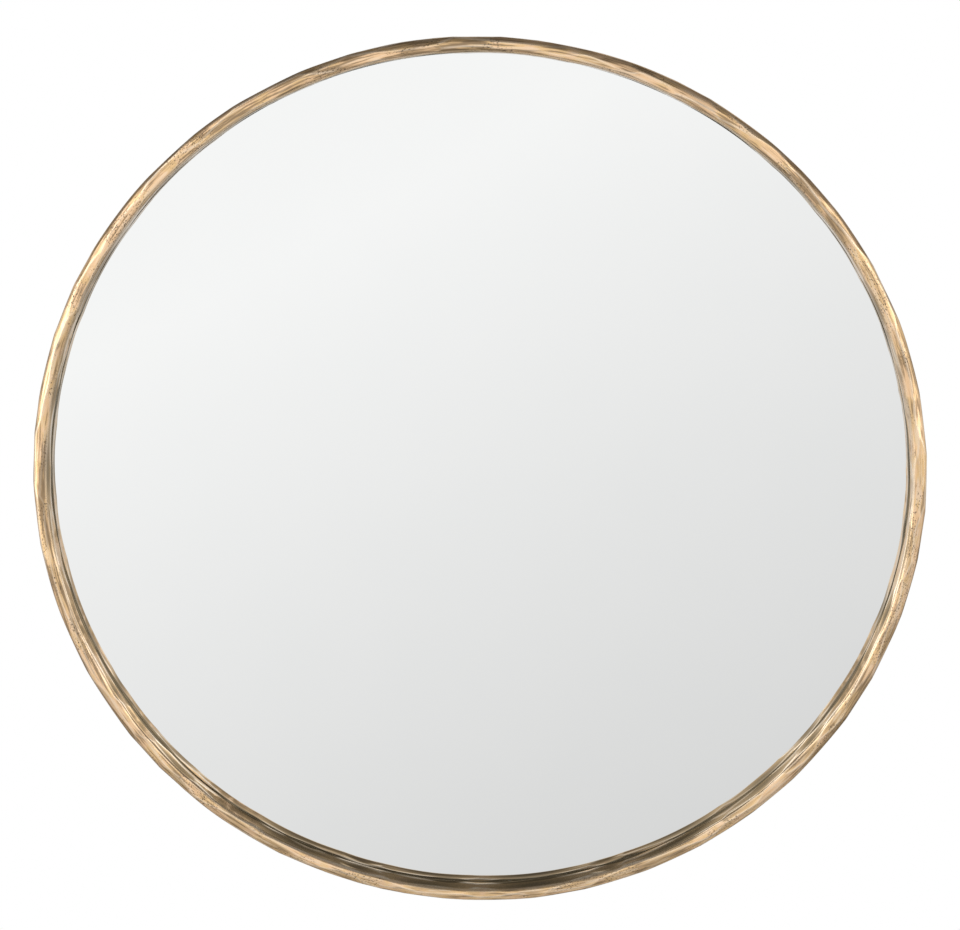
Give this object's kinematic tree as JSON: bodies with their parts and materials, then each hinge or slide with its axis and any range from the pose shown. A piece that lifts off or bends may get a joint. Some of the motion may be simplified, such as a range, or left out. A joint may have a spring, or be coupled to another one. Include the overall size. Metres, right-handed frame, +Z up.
{
  "type": "round wall mirror",
  "caption": "Round wall mirror: flat glass set back inside a narrow hammered cast rim in antique gold, on a backing board with swinging D-ring hangers.",
  "frame": {"origin": "centre of the rim's flat rear face, on the wall plane", "axes": "+Y out of the back, into the wall; the mirror faces -Y; +Z up as hung; +X to the right seen from the front"},
  "size_m": [0.9147, 0.0402, 0.9148],
  "materials": {
    "rim_metal": "hammered casting, antique gold with brown patina in the hollows",
    "mirror": "silvered, polished",
    "tape": "foam",
    "board": "fibreboard, painted black",
    "steel": "zinc plated"
  },
  "bodies": {
    "mirror": {"rim": "rim_metal", "mirror_glass": "mirror", "mounting_tape": "tape", "backing_board": "board", "board_washers": "steel", "board_screws": "steel", "hanger_strap_left": "steel", "hanger_strap_right": "steel", "hanger_screws": "steel"},
    "ring_left": {"hanger_ring_left": "steel"},
    "ring_right": {"hanger_ring_right": "steel"}
  },
  "joints": [
    {"name": "ring_left_swing", "type": "hinge", "parent": "mirror", "child": "ring_left", "pos_m": [-0.2032, -0.00544, 0.165], "axis": [-1, 0, 0], "range_deg": [0, 177]},
    {"name": "ring_right_swing", "type": "hinge", "parent": "mirror", "child": "ring_right", "pos_m": [0.2032, -0.00544, 0.165], "axis": [-1, 0, 0], "range_deg": [0, 177]}
  ]
}
